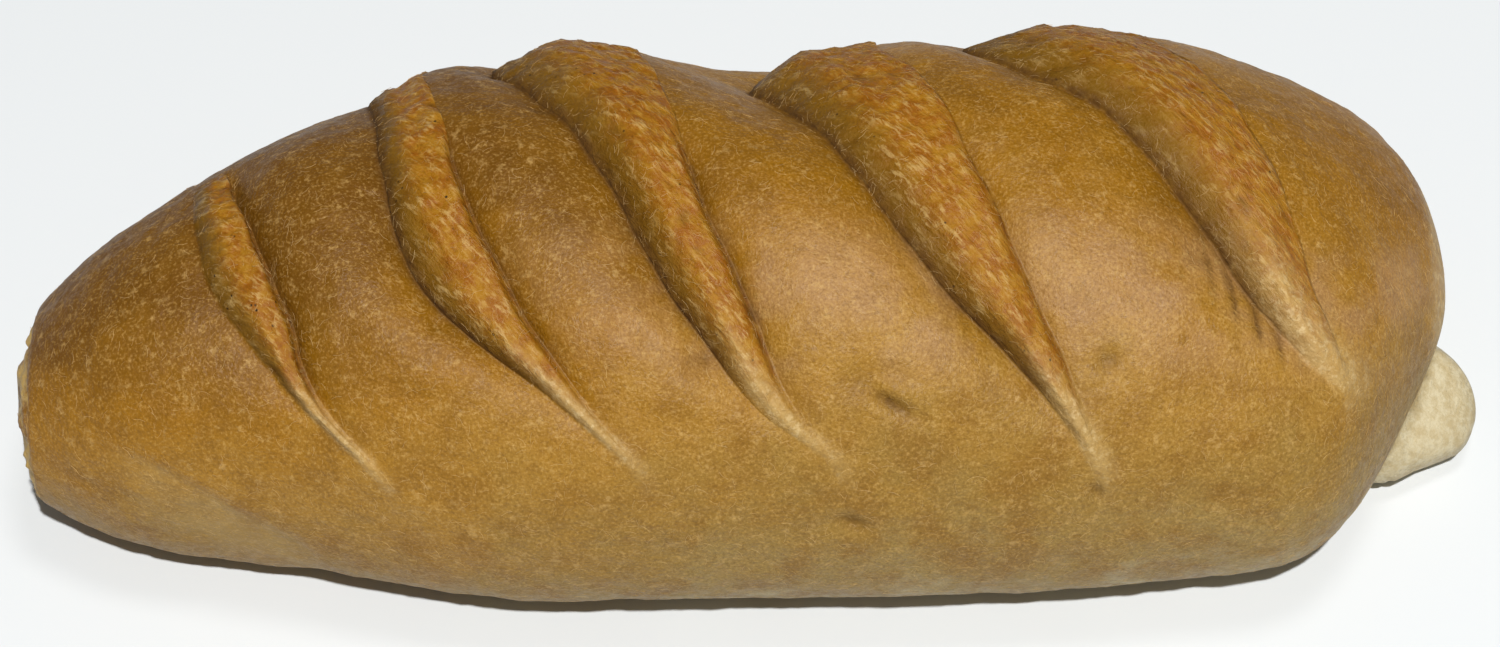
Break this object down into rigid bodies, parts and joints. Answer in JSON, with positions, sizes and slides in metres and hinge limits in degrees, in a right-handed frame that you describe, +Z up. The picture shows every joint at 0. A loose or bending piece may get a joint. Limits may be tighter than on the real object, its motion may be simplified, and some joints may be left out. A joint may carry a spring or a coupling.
{
  "type": "slashed oval loaf",
  "caption": "Hearth-baked white loaf, oval and tapered, with diagonal slashes across its crown and a pale burst of dough at one end.",
  "frame": {"origin": "centre of the loaf's bounding box in plan, on the surface it rests on", "axes": "+X along the loaf towards its broad end with the burst dough, +Y across it, +Z up"},
  "size_m": [0.3016, 0.122, 0.0897],
  "materials": {
    "crust": null
  },
  "bodies": {
    "root": {"loaf": "crust"}
  },
  "joints": []
}
